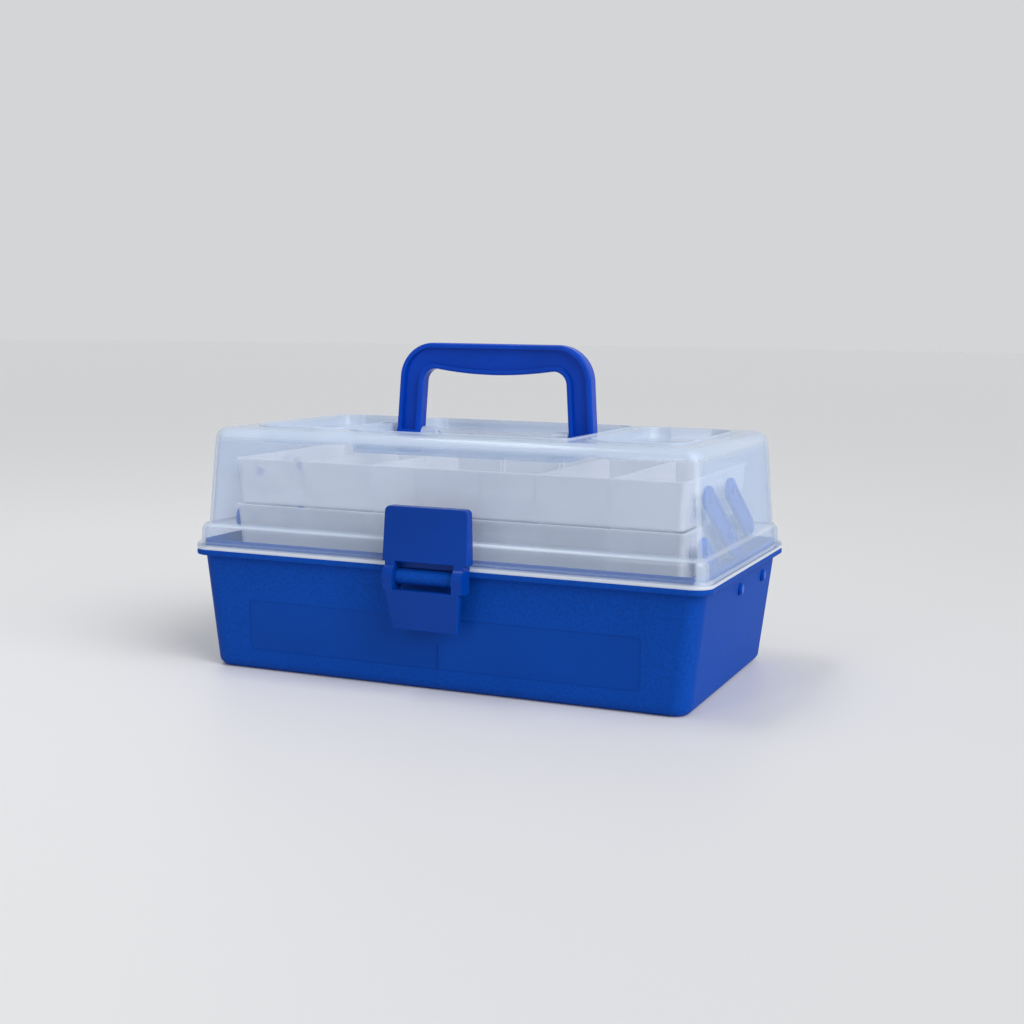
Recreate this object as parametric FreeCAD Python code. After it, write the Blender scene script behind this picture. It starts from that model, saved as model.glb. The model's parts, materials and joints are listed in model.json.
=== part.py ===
import FreeCAD, Part
import math
import os

from FreeCAD import Vector

os.makedirs("parts", exist_ok=True)

# Frame: X along the length, front towards -Y, Z up, origin under the middle of the rim.

# Rim, where the base and the lid meet
rim_length = 330.0
rim_width = 187.0
rim_corner_radius = 11.0
joint_height = 73.8
rim_flange_height = 3.4
rim_edge_radius = 0.9
corner_limit_share = 0.45

# Base tub
base_end_inset = 12.0
base_side_inset = 7.25
base_corner_radius = 10.5
bottom_edge_radius = 6.0
base_wall = 2.0
base_floor = 2.2
base_rim_overhang = 4.2
tongue_height = 6.0
tongue_thickness = 1.2
tongue_clearance = 0.4
panel_end_margin = 27.0
panel_height = 31.0
panel_centre_height = 28.5
panel_depth = 0.3
panel_corner_radius = 3.0

# Lid shell
body_height = 150.0
lid_wall = 1.8
lid_flange_height = 4.6
lid_flange_radius = 1.9
tier_overhang = 2.6
tier_draft = 0.5
shoulder_height = 90.5
shoulder_radius = 5.5
shoulder_end_inset = 5.2
shoulder_front_inset = 7.5
shoulder_rear_inset = 8.0
top_end_inset = 9.8
top_front_inset = 9.4
top_rear_inset = 11.4
top_edge_radius = 8.0
top_corner_radius = 9.2

# Recesses in the lid's top, with a raised bead round each
bead_height = 0.8
bead_width = 2.6
side_recess_end_margin = 17.2
side_recess_width = 122.0
side_recess_depth = 8.0
recess_land = 10.5
recess_draft = 1.2
recess_corner_radius = 9.0
side_recess_corner_radius = 15.0

# Carrying handle
handle_length = 133.7
handle_rise = 58.0
handle_thickness = 10.0
handle_leg_width = 16.2
handle_leg_splay_deg = 3.8
handle_grip_height = 15.0
handle_grip_bulge = 7.0
handle_bulge_share = 0.75
handle_outer_radius = 23.0
handle_inner_radius = 8.5
handle_border = 3.0
handle_web = 4.2
handle_edge_radius = 1.5
handle_pivot_drop = 5.2
handle_end_gap = 3.5
handle_fold_gap = 4.5
handle_floor_gap = 1.2
handle_stub_radius = 2.5
handle_stub_length = 8.0
handle_boss_length = 12.5
handle_boss_slope = 5.0
handle_boss_wall = 2.4
side_gap = 0.8

# Lid hinges at the rear
hinge_spacing = 176.0
hinge_offset = 5.0
hinge_knuckle_radius = 4.5
hinge_knuckle_length = 14.0
hinge_ear_length = 8.0
hinge_pin_radius = 1.6
hinge_pin_head_radius = 2.8
hinge_pin_head_length = 1.2
hinge_gusset = 11.0
hinge_web = 4.4

# Front latch
latch_length = 54.0
latch_flare = 0.8
latch_height = 41.0
latch_flap_lean = 2.0
latch_pivot_drop = 4.8
latch_pivot_offset = 5.2
latch_face_offset = 3.9
latch_wall = 2.2
latch_side_gap = 0.7
latch_corner_radius = 3.2
latch_edge_radius = 0.8
latch_skirt_height = 9.0
latch_ear_radius = 8.0
latch_ear_thickness = 6.2
latch_barrel_length = 37.0
latch_barrel_radius = 4.3
latch_barrel_web = 5.6
latch_pin_radius = 1.5
latch_pin_cover = 1.2
latch_plate_drop = 30.6
latch_plate_ledge = 6.9
latch_plate_reach = 7.4
latch_plate_top_length = 47.0
latch_plate_length = 41.0
latch_plate_back = 5.0
latch_plate_rib = 4.5
latch_catch_height = 22.6
latch_catch_length = 30.0
latch_catch_thickness = 2.0
latch_catch_gap = 0.3

# Trays
tray_end_gap = 20.0
tray_front_gap = 21.5
tray_rear_gap = 29.5
tray_gap = 0.5
tray_headroom = 6.4
tray_pivot_share = 0.6241
tray_boss_share = 0.2128
tray_pivot_inset = 17.4
tray_wall = 1.5
tray_draft = 2.0
tray_corner_radius = 3.5
tray_rim_width = 0.9
tray_rim_height = 2.0
tray_inner_column = 108.0
tray_outer_column = 45.0
divider_thickness = 1.4
divider_drop = 1.0
guide_column = 42.0
guide_rib_width = 1.2
guide_rib_depth = 2.0
guide_slot = 1.8

# Cantilever arms and the rivets that they turn on
arm_lean_deg = 60.0
arm_width = 14.0
arm_thickness = 3.0
arm_end_gap = 14.0
arm_edge_radius = 0.7
arm_rib_height = 0.8
arm_rib_border = 2.4
base_pivot_drop = 13.3
base_pivot_spacing = 56.0
lower_reach = 59.6
rear_arm_spacing = 49.0
pivot_side_gap = 0.3
base_boss_radius = 6.0
base_pad_radius = 3.8
base_pad_height = 0.9
stop_radius = 2.6
stop_reach = 20.0
rivet_radius = 2.0
rivet_head_radius = 2.9
rivet_head_thickness = 1.2
rivet_dome = 0.5

# Fits
running_clearance = 0.08
fixed_clearance = 0.03
travel_gap = 0.3
overrun = 6.0

# Worked out once from the sizes above
half_length = rim_length / 2
half_width = rim_width / 2
wall_top = joint_height - rim_flange_height
land_height = body_height - bead_height
panel_length = rim_length - 2 * (base_end_inset + panel_end_margin)
tier_radius = rim_corner_radius - tier_overhang
hinge_y = half_width + hinge_offset
lid_centre_y = (top_front_inset - top_rear_inset) / 2
inner_edge_radius = top_edge_radius - lid_wall
inner_corner_radius = top_corner_radius - lid_wall
handle_pivot_z = land_height - handle_pivot_drop
handle_splay = math.tan(math.radians(handle_leg_splay_deg))
middle_recess_length = handle_length + 2 * handle_end_gap
middle_recess_width = 2 * (handle_rise + handle_fold_gap)
middle_recess_depth = handle_pivot_drop + handle_thickness / 2 + handle_floor_gap
side_recess_start = middle_recess_length / 2 + recess_land
side_recess_end = half_length - top_end_inset - side_recess_end_margin
latch_pivot_y = -half_width - latch_pivot_offset
latch_pivot_height = joint_height - latch_pivot_drop
latch_bore_reach = latch_barrel_length / 2 + travel_gap + latch_ear_thickness - latch_pin_cover
arm_lean = math.radians(arm_lean_deg)
arm_centre_distance = half_length - arm_end_gap
arm_inner = arm_centre_distance - arm_thickness / 2
arm_outer = arm_centre_distance + arm_thickness / 2
base_pivot_height = joint_height - base_pivot_drop
lower_pivot_height = base_pivot_height + lower_reach * math.cos(arm_lean)
tray_length = 2 * (half_length - tray_end_gap)
tray_front = half_width - tray_front_gap
tray_rear = half_width - tray_rear_gap
tray_top_height = land_height - middle_recess_depth - lid_wall - tray_headroom
tray_height = (tray_top_height - tray_gap - lower_pivot_height) / (2 - tray_pivot_share)
tray_pitch = tray_height + tray_gap
tray_boss_radius = tray_height * tray_boss_share
base_front_pivot = tray_pivot_inset - tray_front + lower_reach * math.sin(arm_lean)
SIDES = {"left": -1, "right": 1}


def inside_rim(ends, front, rear):
    """The rectangle that lies inside the rim's outline by three insets, as x0, x1, y0, y1."""
    return (-half_length + ends, half_length - ends, -half_width + front, half_width - rear)


def between(low, z0, high, z1):
    """A block with flat walls between two level rectangles, each as x0, x1, y0, y1."""
    x0, x1, y0, y1 = low
    x2, x3, y2, y3 = high
    block = Part.makeWedge(x0, z0, -y1, -y3, x2, x1, z1, -y0, -y2, x3)
    block.rotate(Vector(0, 0, 0), Vector(1, 0, 0), 90)
    return block


def drafted(low, z0, high, z1, radius):
    """A block between two rectangles with its upright edges rounded, within its walls."""
    shortest = min(limits[at + 1] - limits[at] for limits in (low, high) for at in (0, 2))
    return round_edges(between(low, z0, high, z1), min(radius, shortest * corner_limit_share),
                       lambda edge: edge.BoundBox.ZLength > (z1 - z0) / 2)


def around_lid_centre(x, half_x, half_y):
    """The rectangle round a place on the lid's middle line, as x0, x1, y0, y1."""
    return (x - half_x, x + half_x, lid_centre_y - half_y, lid_centre_y + half_y)


def box(x0, x1, y0, y1, z0, z1):
    """A box from its two corners, given in any order."""
    low = Vector(min(x0, x1), min(y0, y1), min(z0, z1))
    return Part.makeBox(abs(x1 - x0), abs(y1 - y0), abs(z1 - z0), low)


def rod(x0, x1, y, z, radius):
    """A round bar along X."""
    return Part.makeCylinder(radius, abs(x1 - x0), Vector(min(x0, x1), y, z), Vector(1, 0, 0))


def slab(points, x0, x1):
    """A prism along X from an outline of (y, z) points."""
    outline = [Vector(x0, y, z) for y, z in points]
    face = Part.Face(Part.makePolygon(outline + outline[:1]))
    return face.extrude(Vector(x1 - x0, 0, 0))


def fuse(*shapes):
    """One clean solid from pieces that overlap."""
    return shapes[0].fuse(list(shapes[1:])).removeSplitter()


def round_edges(shape, radius, chosen):
    """Rounds the edges that chosen(edge) picks."""
    edges = [edge for edge in shape.Edges if chosen(edge)]
    return shape.makeFillet(radius, edges)


def at_height(z):
    """Picks the edges that lie level at height z."""
    def chosen(edge):
        box_of = edge.BoundBox
        return abs(box_of.ZMin - z) < rim_edge_radius / 100 and box_of.ZLength < rim_edge_radius / 100
    return chosen


def mirrored(shape, sign):
    """The shape as drawn for the right end, or its mirror image for the left."""
    if sign > 0:
        return shape
    return shape.mirror(Vector(0, 0, 0), Vector(1, 0, 0))


def base_wall_x(z):
    """How far the base's end wall stands from the middle at height z."""
    return half_length - base_end_inset + (base_end_inset - base_rim_overhang) * z / wall_top


def base_front_y(z):
    """Where the base's front wall lies at height z."""
    return -half_width + base_side_inset - (base_side_inset - base_rim_overhang) * z / wall_top


def pivot_at(start, reach):
    """The point that lies reach along a closed arm from its pivot at start."""
    y, z = start
    return (y - reach * math.sin(arm_lean), z + reach * math.cos(arm_lean))


def pivots():
    """The (y, z) places of all the pivots of one end."""
    upper_reach = lower_reach + tray_pitch / math.cos(arm_lean)
    base_front = (base_front_pivot, base_pivot_height)
    base_rear = (base_front_pivot + base_pivot_spacing, base_pivot_height)
    lower_middle = pivot_at(base_rear, lower_reach)
    upper_front = pivot_at(base_rear, upper_reach)
    return {
        "base_front": base_front,
        "base_rear": base_rear,
        "lower_front": pivot_at(base_front, lower_reach),
        "lower_middle": lower_middle,
        "lower_rear": (lower_middle[0] + rear_arm_spacing, lower_middle[1]),
        "upper_front": upper_front,
        "upper_rear": (upper_front[0] + rear_arm_spacing, upper_front[1]),
    }


PIVOTS = pivots()


def base_shell():
    """The drafted tub with its flange and the tongue that locates the lid."""
    outside = drafted(inside_rim(base_end_inset, base_side_inset, base_side_inset), 0,
                      inside_rim(*[base_rim_overhang] * 3), wall_top, base_corner_radius)
    outside = round_edges(outside, bottom_edge_radius, at_height(0))
    rim = inside_rim(0, 0, 0)
    flange = drafted(rim, wall_top, rim, joint_height, rim_corner_radius)
    flange = round_edges(flange, rim_edge_radius,
                         lambda edge: at_height(wall_top)(edge) or at_height(joint_height)(edge))
    inset = tier_overhang + lid_wall + tongue_clearance
    place = inside_rim(*[inset] * 3)
    tongue = drafted(place, wall_top, place, joint_height + tongue_height,
                     rim_corner_radius - inset)
    tongue = round_edges(tongue, tongue_thickness / 3, at_height(joint_height + tongue_height))
    return fuse(outside, flange, tongue).cut(base_cavity())


def base_cavity():
    """The space inside the tub, straight above the rim and drafted below it."""
    wall = base_wall
    inset = tier_overhang + lid_wall + tongue_clearance + tongue_thickness
    radius = base_corner_radius - wall
    tub = drafted(inside_rim(base_end_inset + wall, base_side_inset + wall,
                             base_side_inset + wall), base_floor,
                  inside_rim(*[base_rim_overhang + wall] * 3), wall_top, radius)
    tub = round_edges(tub, bottom_edge_radius - base_floor, at_height(base_floor))
    place = inside_rim(*[inset] * 3)
    mouth = drafted(place, wall_top, place, joint_height + overrun, radius)
    return fuse(tub, mouth)


def label_panel():
    """The shallow plain field on the front wall, as a slab to cut."""
    draft = math.degrees(math.atan((base_side_inset - base_rim_overhang) / wall_top))
    outline = (-panel_length / 2, panel_length / 2, -panel_height / 2, panel_height / 2)
    field = drafted(outline, -panel_depth, outline, overrun, panel_corner_radius)
    field.rotate(Vector(0, 0, 0), Vector(1, 0, 0), 90 + draft)
    field.translate(Vector(0, base_front_y(panel_centre_height), panel_centre_height))
    return field


def hinge_ears():
    """The two pairs of ears that hold the lid's hinge pins."""
    ears = []
    for sign in SIDES.values():
        middle = sign * hinge_spacing / 2
        for side in SIDES.values():
            near = middle + side * (hinge_knuckle_length / 2 + travel_gap)
            far = near + side * hinge_ear_length
            wall_y = half_width - base_rim_overhang - base_wall / 2
            web = slab([(wall_y, joint_height - hinge_gusset),
                        (hinge_y, joint_height - hinge_web),
                        (hinge_y, joint_height - travel_gap),
                        (wall_y, joint_height - travel_gap)], near, far)
            ears += [web, rod(near, far, hinge_y, joint_height, hinge_knuckle_radius)]
    return ears


def hinge_bores(radius):
    """The bores for the lid's hinge pins, through ears and knuckles alike."""
    reach = hinge_knuckle_length / 2 + hinge_ear_length + overrun / 2
    return [rod(sign * hinge_spacing / 2 - reach, sign * hinge_spacing / 2 + reach,
                hinge_y, joint_height, radius) for sign in SIDES.values()]


def latch_barrel():
    """The barrel on the base's front that the latch rocks on, with its web."""
    half = latch_barrel_length / 2
    wall_y = base_front_y(latch_pivot_height) + base_wall / 2
    web = box(-half, half, latch_pivot_y, wall_y,
              latch_pivot_height - latch_barrel_web / 2, joint_height - travel_gap)
    barrel = rod(-half, half, latch_pivot_y, latch_pivot_height, latch_barrel_radius)
    return [web, barrel]


def base_pivot_bosses(sign):
    """Inner bosses, outer pads and arm stops of one end wall."""
    solids = []
    for name in ("base_front", "base_rear"):
        y, z = PIVOTS[name]
        wall = base_wall_x(z)
        face = arm_outer + pivot_side_gap
        solids.append(rod(sign * face, sign * (wall - base_wall / 2), y, z, base_boss_radius))
        solids.append(rod(sign * (wall - base_wall / 2), sign * (wall + base_pad_height), y, z,
                          base_pad_radius))
        solids.append(arm_stop(sign, y, z))
    return solids


def arm_stop(sign, y, z):
    """The peg under an arm that holds the closed trays at their height."""
    away = arm_width / 2 + travel_gap + stop_radius
    stop_y = y - stop_reach * math.sin(arm_lean) - away * math.cos(arm_lean)
    stop_z = z + stop_reach * math.cos(arm_lean) - away * math.sin(arm_lean)
    return rod(sign * arm_inner, sign * (base_wall_x(stop_z) - base_wall / 2), stop_y, stop_z,
               stop_radius)


def make_base():
    """The base tub with everything that is moulded on it."""
    tub = base_shell()
    added = hinge_ears() + latch_barrel()
    bores = hinge_bores(hinge_pin_radius + fixed_clearance)
    bores.append(rod(-half_length, half_length, latch_pivot_y, latch_pivot_height,
                     latch_pin_radius + fixed_clearance))
    for sign in SIDES.values():
        added += base_pivot_bosses(sign)
        for name in ("base_front", "base_rear"):
            y, z = PIVOTS[name]
            bores.append(rod(sign * arm_inner, sign * (half_length + overrun), y, z,
                             rivet_radius + fixed_clearance))
    return fuse(tub, *added).cut(bores + [label_panel()])


def lid_outside():
    """The lid's outer form: flange, lower tier with its shoulder, and upper walls."""
    rim = inside_rim(0, 0, 0)
    flange = drafted(rim, joint_height, rim, joint_height + lid_flange_height, rim_corner_radius)
    flange = round_edges(flange, lid_flange_radius, at_height(joint_height + lid_flange_height))
    flange = round_edges(flange, rim_edge_radius / 2, at_height(joint_height))
    tier = drafted(inside_rim(*[tier_overhang] * 3), joint_height,
                   inside_rim(*[tier_overhang + tier_draft] * 3), shoulder_height, tier_radius)
    tier = round_edges(tier, shoulder_radius, at_height(shoulder_height))
    upper = drafted(upper_walls(0, joint_height), joint_height,
                    upper_walls(0, land_height), land_height, top_corner_radius)
    upper = round_edges(upper, top_edge_radius, at_height(land_height))
    return fuse(flange, tier, upper)


def upper_walls(inset, z):
    """The rectangle that the lid's upper walls follow at height z, moved inwards by inset."""
    share = (z - shoulder_height) / (land_height - shoulder_height)
    ends = shoulder_end_inset + (top_end_inset - shoulder_end_inset) * share
    front = shoulder_front_inset + (top_front_inset - shoulder_front_inset) * share
    rear = shoulder_rear_inset + (top_rear_inset - shoulder_rear_inset) * share
    return inside_rim(ends + inset, front + inset, rear + inset)


def lid_inside():
    """The space inside the lid."""
    low = joint_height - overrun
    shoulder = shoulder_height - lid_wall
    tier = drafted(inside_rim(*[tier_overhang + lid_wall] * 3), low,
                   inside_rim(*[tier_overhang + tier_draft + lid_wall] * 3), shoulder,
                   tier_radius - lid_wall)
    tier = round_edges(tier, shoulder_radius / 2, at_height(shoulder))
    ceiling = land_height - lid_wall
    upper = drafted(upper_walls(lid_wall, joint_height), joint_height,
                    upper_walls(lid_wall, ceiling), ceiling, inner_corner_radius)
    upper = round_edges(upper, inner_edge_radius, at_height(ceiling))
    return fuse(tier, upper)


def recess_places():
    """Each recess as (middle x, length, width, depth, corner radius)."""
    offset = (side_recess_start + side_recess_end) / 2
    side = (side_recess_end - side_recess_start, side_recess_width, side_recess_depth,
            side_recess_corner_radius)
    middle = (middle_recess_length, middle_recess_width, middle_recess_depth,
              recess_corner_radius)
    return [(-offset, *side), (0, *middle), (offset, *side)]


def recess(place, grow, floor_drop):
    """One recess as a drafted block, grown all round and deepened by the lid's wall."""
    x, length, width, depth, radius = place
    half_x = length / 2 + grow - recess_draft
    half_y = width / 2 + grow - recess_draft
    floor = land_height - depth - floor_drop
    top = body_height + overrun
    spread = recess_draft * (top - floor) / depth
    return drafted(around_lid_centre(x, half_x, half_y), floor,
                   around_lid_centre(x, half_x + spread, half_y + spread), top, radius + grow)


def recess_bead(place):
    """The raised border round one recess."""
    x, length, width, depth, radius = place
    outline = around_lid_centre(x, length / 2 + bead_width, width / 2 + bead_width)
    bead = drafted(outline, land_height - lid_wall / 2, outline, body_height,
                   radius + bead_width)
    return round_edges(bead, bead_height / 2, at_height(body_height))


def handle_bosses():
    """The two bosses on the middle recess's floor that the handle snaps into."""
    bosses = []
    inner = handle_length / 2 - handle_leg_width - side_gap
    floor = land_height - middle_recess_depth - lid_wall / 2
    radius = handle_stub_radius + handle_boss_wall
    for sign in SIDES.values():
        far = sign * (inner - handle_boss_length)
        block = box(sign * inner, far, lid_centre_y - radius, lid_centre_y + radius,
                    floor, handle_pivot_z)
        block = fuse(block, rod(sign * inner, far, lid_centre_y, handle_pivot_z, radius))
        slope = Part.makePolygon([
            Vector(far, lid_centre_y - overrun, handle_pivot_z),
            Vector(far, lid_centre_y - overrun, handle_pivot_z + overrun),
            Vector(far + sign * handle_boss_slope, lid_centre_y - overrun,
                   handle_pivot_z + overrun),
            Vector(far, lid_centre_y - overrun, handle_pivot_z)])
        bosses.append(block.cut(Part.Face(slope).extrude(Vector(0, overrun + overrun, 0))))
    return bosses


def lid_knuckles():
    """The knuckles between the base's ears, with the webs that tie them to the flange."""
    knuckles = []
    half = hinge_knuckle_length / 2
    for sign in SIDES.values():
        middle = sign * hinge_spacing / 2
        knuckles.append(box(middle - half, middle + half, half_width - tier_overhang - lid_wall / 2,
                            hinge_y, joint_height + travel_gap / 2, joint_height + hinge_web))
        knuckles.append(rod(middle - half, middle + half, hinge_y, joint_height,
                            hinge_knuckle_radius))
    return knuckles


def make_lid():
    """The translucent lid: shell, recesses, beads, handle bosses and hinge knuckles."""
    places = recess_places()
    outside = fuse(lid_outside(), *[recess_bead(place) for place in places])
    outside = outside.cut([recess(place, 0, 0) for place in places])
    hollow = lid_inside().cut([recess(place, lid_wall, lid_wall) for place in places])
    shell = fuse(outside.cut(hollow), *lid_knuckles(), *handle_bosses())
    bores = hinge_bores(hinge_pin_radius + running_clearance)
    bores.append(rod(-handle_length / 2 + handle_leg_width, handle_length / 2 - handle_leg_width,
                     lid_centre_y, handle_pivot_z, handle_stub_radius + running_clearance))
    return shell.cut(bores)


def handle_corners():
    """The corners of the handle's U, clockwise, as (x, z, radius of the round)."""
    top = handle_pivot_z + handle_rise
    under = top - handle_grip_height
    out_x = handle_length / 2
    in_x = out_x - handle_leg_width
    in_top = in_x - (under - handle_pivot_z) * handle_splay
    half = [(in_x, handle_pivot_z, 0), (in_top, under, handle_inner_radius)]
    left = [(-out_x, handle_pivot_z, 0),
            (handle_rise * handle_splay - out_x, top, handle_outer_radius)]
    right = [(-x, z, radius) for x, z, radius in reversed(left)]
    middle = [(0, under - handle_grip_bulge, handle_bulge_share * in_top ** 2 / handle_grip_bulge)]
    return left + right + half + middle + [(-x, z, radius) for x, z, radius in reversed(half)]


def corner_turn(corners, index):
    """The unit directions before and after a corner, and the tangent of half its turn."""
    x, z = corners[index][:2]
    last_x, last_z = corners[index - 1][:2]
    next_x, next_z = corners[(index + 1) % len(corners)][:2]
    before = Vector(x - last_x, 0, z - last_z).normalize()
    after = Vector(next_x - x, 0, next_z - z).normalize()
    return before, after, (1 - before.dot(after)) / (before.x * after.z - before.z * after.x)


def inset_corners(corners, inset):
    """A clockwise outline moved inwards: its outer rounds shrink and its inner ones grow."""
    moved = []
    for index, (x, z, radius) in enumerate(corners):
        before, after, half_turn = corner_turn(corners, index)
        place = Vector(x, 0, z) + Vector(before.z, 0, -before.x) * inset
        place += before * inset * half_turn
        moved.append((place.x, place.z, radius + math.copysign(inset, half_turn) if radius else 0))
    return moved


def rounded_outline(corners, y):
    """The face at depth y inside an outline of corners with their rounds."""
    parts = []
    for index, (x, z, radius) in enumerate(corners):
        before, after, half_turn = corner_turn(corners, index)
        corner = Vector(x, y, z)
        start = corner - before * radius * abs(half_turn)
        end = corner + after * radius * abs(half_turn)
        if radius:
            inward = (after - before).normalize() * radius * (math.hypot(1, half_turn) - 1)
            parts.append((start, Part.Arc(start, corner + inward, end).toShape(), end))
        else:
            parts.append((start, None, end))
    edges = []
    for index, (start, arc, end) in enumerate(parts):
        edges += [arc] if arc else []
        edges.append(Part.LineSegment(end, parts[(index + 1) % len(parts)][0]).toShape())
    return Part.Face(Part.Wire(edges))


def make_handle():
    """The folding handle: an I-section U with stub pins at its feet."""
    half = handle_thickness / 2
    corners = handle_corners()
    body = rounded_outline(corners, -half).extrude(Vector(0, handle_thickness, 0))
    body = round_edges(body, handle_edge_radius, handle_rim_edges)
    depth = (handle_thickness - handle_web) / 2
    grooves = []
    for start, reach in ((-half + depth, -depth - overrun), (half - depth, depth + overrun)):
        groove = rounded_outline(inset_corners(corners, handle_border), start)
        grooves.append(groove.extrude(Vector(0, reach, 0)))
    feet = []
    for sign in SIDES.values():
        outer = sign * handle_length / 2
        inner = sign * (handle_length / 2 - handle_leg_width)
        feet.append(rod(outer, inner, 0, handle_pivot_z, half))
        feet.append(rod(inner + sign * handle_border, inner - sign * handle_stub_length,
                        0, handle_pivot_z, handle_stub_radius))
    solid = fuse(body, *feet).cut(grooves)
    solid.translate(Vector(0, lid_centre_y, 0))
    return solid


def handle_rim_edges(edge):
    """Picks the edges round the handle's two faces, but not those at its feet."""
    limits = edge.BoundBox
    level = limits.YLength < handle_edge_radius / 10
    return level and limits.ZMax > handle_pivot_z + handle_edge_radius


def flap_share(z):
    """How far up the flap height z lies, from 0 at its lower edge to 1 at its top."""
    return (z - latch_pivot_height - latch_skirt_height) / (latch_height - latch_skirt_height)


def flap_face_y(z):
    """Where the flap's leaning front face lies at height z."""
    return latch_pivot_y - latch_face_offset + latch_flap_lean * flap_share(z)


def flap_block(wall, low, back, top):
    """A block within the flap's leaning face and flared sides, set in from them by a wall."""
    halves = [latch_length / 2 - latch_flare * flap_share(z) - wall for z in (low, top)]
    return between((-halves[0], halves[0], flap_face_y(low) + wall, back), low,
                   (-halves[1], halves[1], flap_face_y(top) + wall, back), top)


def latch_flap():
    """The latch's upper cover, open at the back, with its catch rib and lower screen."""
    back = -half_width - latch_side_gap
    top = latch_pivot_height + latch_height
    low = latch_pivot_height + latch_skirt_height
    block = flap_block(0, low, back, top)
    block = round_edges(block, latch_corner_radius, lambda edge: upright_top(edge, top))
    block = round_edges(block, latch_edge_radius, on_flap_face)
    hollow = flap_block(latch_wall, low - overrun, back + overrun, top - latch_wall)
    catch_z = latch_pivot_height + latch_catch_height
    catch = box(-latch_catch_length / 2, latch_catch_length / 2,
                flap_face_y(catch_z) + latch_wall / 2, lid_path_y(catch_z) - latch_catch_gap,
                catch_z, catch_z + latch_catch_thickness)
    reach = (latch_barrel_length + latch_ear_thickness) / 2
    screen = box(-reach, reach, back - latch_wall, back, joint_height + travel_gap,
                 low + latch_wall)
    return fuse(block.cut(hollow), catch, screen)


def lid_path_y(z):
    """How far forward the lid's front edge passes at height z as the lid opens."""
    return hinge_y - math.sqrt((hinge_y + half_width) ** 2 - (z - joint_height) ** 2)


def upright_top(edge, top):
    """Picks the two upper edges that run from the latch's face to its back."""
    limits = edge.BoundBox
    runs_back = limits.YLength > limits.XLength + limits.ZLength
    return runs_back and limits.ZMin > top - latch_edge_radius


def on_flap_face(edge):
    """Picks the edges that lie in the flap's front face."""
    return all(abs(vertex.Y - flap_face_y(vertex.Z)) < latch_edge_radius / 100
               for vertex in edge.Vertexes)


def latch_ears():
    """The two ears beside the barrel, which carry the pivot and join flap to plate."""
    near = latch_barrel_length / 2 + travel_gap
    far = near + latch_ear_thickness
    back = -half_width - latch_side_gap
    solids = []
    for sign in SIDES.values():
        ear = rod(sign * near, sign * far, latch_pivot_y, latch_pivot_height, latch_ear_radius)
        neck = box(sign * near, sign * far, latch_pivot_y - latch_plate_reach, back,
                   latch_pivot_height - latch_plate_ledge, latch_pivot_height)
        upper = box(sign * near, sign * far, latch_pivot_y - latch_face_offset, back,
                    latch_pivot_height, latch_pivot_height + latch_skirt_height + latch_wall)
        front_gap = box(sign * near, sign * far, back, overrun - half_width,
                        latch_pivot_height - latch_plate_drop, latch_pivot_height + latch_height)
        solids.append(fuse(ear, neck, upper).cut(front_gap))
    return solids


def latch_plate():
    """The tapered press plate below the barrel, leaning back towards the base."""
    top_z = latch_pivot_height - latch_plate_ledge
    low_z = latch_pivot_height - latch_plate_drop
    top_y = latch_pivot_y - latch_plate_reach
    low_y = top_y + latch_plate_back
    wide = latch_plate_top_length / 2
    narrow = latch_plate_length / 2
    rib = latch_plate_rib
    wall = latch_wall
    block = drafted((-narrow, narrow, low_y, low_y + rib), low_z,
                    (-wide, wide, top_y, top_y + rib), top_z, latch_edge_radius)
    hollow = drafted((wall - narrow, narrow - wall, low_y + wall, low_y + rib + overrun),
                     low_z + wall,
                     (wall - wide, wide - wall, top_y + wall, top_y + rib + overrun),
                     top_z - wall, latch_edge_radius)
    return block.cut(hollow)


def make_latch():
    """The one-piece rocker latch: flap, ears and press plate round a window."""
    solid = fuse(latch_flap(), *latch_ears(), latch_plate())
    return solid.cut(rod(-latch_bore_reach, latch_bore_reach, latch_pivot_y, latch_pivot_height,
                         latch_pin_radius + running_clearance))


def make_latch_pin():
    """The pin through the barrel, which the latch's ears turn on and cover."""
    reach = latch_bore_reach - travel_gap
    return rod(-reach, reach, latch_pivot_y, latch_pivot_height, latch_pin_radius)


def make_hinge_pin(sign):
    """One lid hinge pin with its head at the outer ear."""
    middle = sign * hinge_spacing / 2
    reach = hinge_knuckle_length / 2 + travel_gap + hinge_ear_length
    shank = rod(middle - sign * reach, middle + sign * reach, hinge_y, joint_height,
                hinge_pin_radius)
    head = rod(middle + sign * reach, middle + sign * (reach + hinge_pin_head_length), hinge_y,
               joint_height, hinge_pin_head_radius)
    return fuse(shank, head)


def tray_half_length(z):
    """How far a tray's end wall stands from the middle, at height z above its floor."""
    return tray_length / 2 - tray_draft * (1 - z / tray_height)


def tray_outline(inset, z):
    """A tray's outline at height z above its underside, moved inwards by inset."""
    lean = tray_length / 2 - tray_half_length(z) + inset
    return (lean - tray_length / 2, tray_length / 2 - lean, lean - tray_front, tray_rear - lean)


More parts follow.
